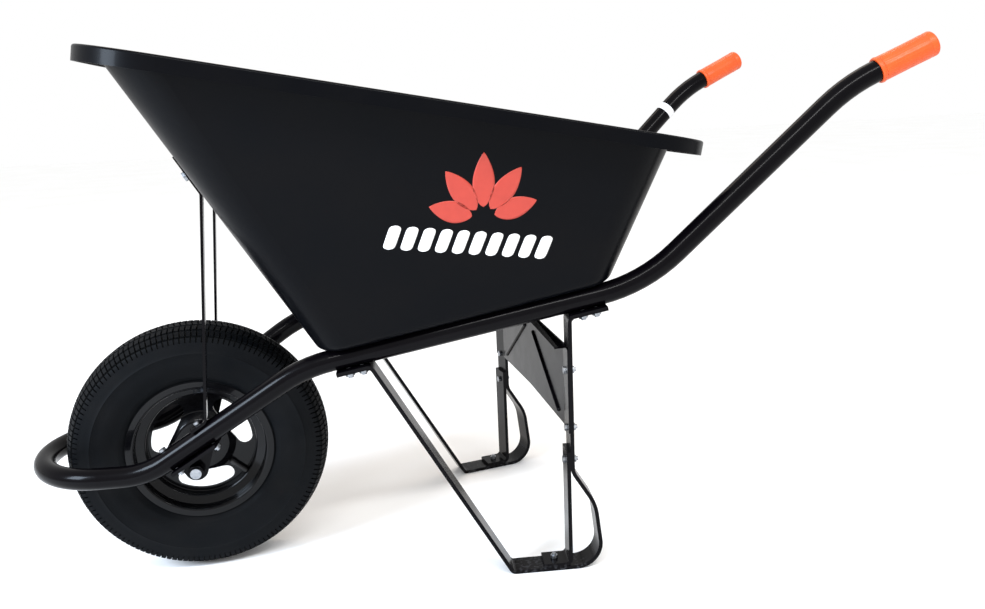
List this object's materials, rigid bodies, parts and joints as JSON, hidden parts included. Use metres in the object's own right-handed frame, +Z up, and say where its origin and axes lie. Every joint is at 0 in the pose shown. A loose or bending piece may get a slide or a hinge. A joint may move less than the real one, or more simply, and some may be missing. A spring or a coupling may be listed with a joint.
{
  "type": "wheelbarrow",
  "caption": "Garden wheelbarrow with a deep moulded tray on a bent tube frame, a spoked pneumatic front wheel, flat-bar legs and sleeve grips.",
  "frame": {"origin": "on the floor, at the middle of the overall length and width", "axes": "+X from the wheel to the handles, +Y across, +Z up"},
  "size_m": [1.3409, 0.6402, 0.8076],
  "materials": {
    "tyre": "matte",
    "rubber": "matte",
    "cap_plastic": "matte",
    "tray_plastic": "satin",
    "grip_rubber": "satin",
    "bearing_steel": "polished",
    "zinc": "zinc plated",
    "black_paint": "gloss"
  },
  "bodies": {
    "barrow": {"axle": "zinc", "axle_bracket_left": "black_paint", "axle_bracket_right": "black_paint", "axle_nuts": "black_paint", "axle_spacers": "zinc", "axle_washers": "black_paint", "bearing_inner_races": "bearing_steel", "brace_bolts": "zinc", "brace_nuts": "zinc", "bracket_bolts": "zinc", "bracket_nuts": "zinc", "foot_bolts": "zinc", "foot_nuts": "zinc", "frame_tube": "black_paint", "grip_left": "grip_rubber", "grip_right": "grip_rubber", "lap_bolts": "zinc", "lap_nuts": "zinc", "leg_left": "black_paint", "leg_panel": "black_paint", "leg_right": "black_paint", "leg_strut_left": "black_paint", "leg_strut_right": "black_paint", "panel_bolts": "zinc", "panel_nuts": "zinc", "tray": "tray_plastic", "tray_bolts": "zinc", "tray_brace_left": "black_paint", "tray_brace_right": "black_paint", "tray_nuts": "zinc"},
    "wheel": {"tyre": "tyre", "inner_tube": "rubber", "wheel_rim": "black_paint", "hub_shell": "black_paint", "bearing_outer_races": "bearing_steel", "bearing_balls": "bearing_steel", "valve_stem": "rubber", "valve_cap": "cap_plastic"}
  },
  "joints": [
    {"name": "wheel_spin", "type": "hinge", "parent": "barrow", "child": "wheel", "pos_m": [-0.42255, 0, 0.2], "axis": [0, 1, 0], "continuous": true}
  ]
}
